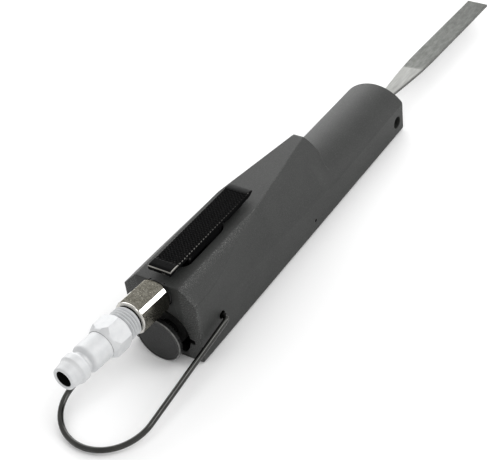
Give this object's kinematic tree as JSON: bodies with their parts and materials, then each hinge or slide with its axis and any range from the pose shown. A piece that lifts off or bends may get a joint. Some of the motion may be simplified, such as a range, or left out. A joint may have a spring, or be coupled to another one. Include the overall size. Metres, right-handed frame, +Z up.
{
  "type": "pneumatic file",
  "caption": "Hand-held reciprocating air file: slim black housing with stepped nose, flush thumb lever, rear air inlet with coupler plug, exhaust cap, wire hanger bail and a flat file blade.",
  "frame": {"origin": "on the flat underside, on the centre plane, midway along the housing", "axes": "+Y forward to the file's tip, +Z up through the lever side, +X to the tool's right"},
  "size_m": [0.0424, 0.3495, 0.0419],
  "materials": {
    "black_coat": "cast alloy with a fine-textured black coating, matt",
    "black_oxide": "black oxide, polished",
    "smooth_black": "smooth black anodised",
    "ground_steel": "ground",
    "satin_plating": "satin zinc-nickel plating",
    "chrome": "bright nickel plating",
    "file_steel": "cut file teeth, bare steel",
    "dark_wire": "drawn spring wire, blackened",
    "bronze": "sintered bronze",
    "alloy": "machined",
    "felt": "pressed felt",
    "rubber": "moulded"
  },
  "bodies": {
    "tool_body": {"housing": "black_coat", "lever_pin": "ground_steel", "stem_bushing": "bronze", "valve_plug": "ground_steel", "plug_o_ring": "rubber", "inlet_bushing": "chrome", "inlet_seal": "rubber", "inlet_screen": "bronze", "coupler_plug": "satin_plating", "exhaust_cap": "smooth_black", "exhaust_silencer": "felt", "cylinder_head": "alloy", "valve_box": "ground_steel", "valve_cover": "ground_steel", "cylinder_liner": "ground_steel", "locating_pin": "ground_steel", "front_bushing": "bronze", "rod_seal": "rubber", "retaining_ring": "ground_steel", "front_wiper": "rubber"},
    "lever": {"throttle_lever": "black_oxide"},
    "throttle": {"throttle_valve": "ground_steel", "valve_seal": "rubber", "valve_spring": "ground_steel"},
    "stroke": {"piston": "ground_steel", "piston_ring": "rubber", "piston_rod": "ground_steel", "file_chuck": "ground_steel", "clamp_screw_right": "black_oxide", "clamp_screw_left": "black_oxide", "file": "file_steel"},
    "plate_valve": {"valve_disc": "ground_steel"},
    "hanger": {"hanger_bail": "dark_wire"}
  },
  "joints": [
    {"name": "lever_press", "type": "hinge", "parent": "tool_body", "child": "lever", "pos_m": [0, -0.04, 0.0334], "axis": [1, 0, 0], "range_deg": [0, 2.4], "stiffness_Nm_per_rad": 0.86, "springref_deg": -7.16},
    {"name": "throttle_lift", "type": "slide", "parent": "tool_body", "child": "throttle", "axis": [0, 0, -1], "range_m": [0, 0.00101], "deforming": ["valve_spring"]},
    {"name": "file_stroke", "type": "slide", "parent": "tool_body", "child": "stroke", "axis": [0, 1, 0], "range_m": [-0.003, 0.0066]},
    {"name": "plate_shift", "type": "slide", "parent": "tool_body", "child": "plate_valve", "axis": [0, 1, 0], "range_m": [-0.0005, 0.0007]},
    {"name": "hanger_swing", "type": "hinge", "parent": "tool_body", "child": "hanger", "pos_m": [0, -0.074, 0.0132], "axis": [1, 0, 0], "range_deg": [-20, 150]}
  ],
  "couplings": [
    {"joint": "throttle_lift", "follows": "lever_press", "m_per_rad": 0.024}
  ]
}
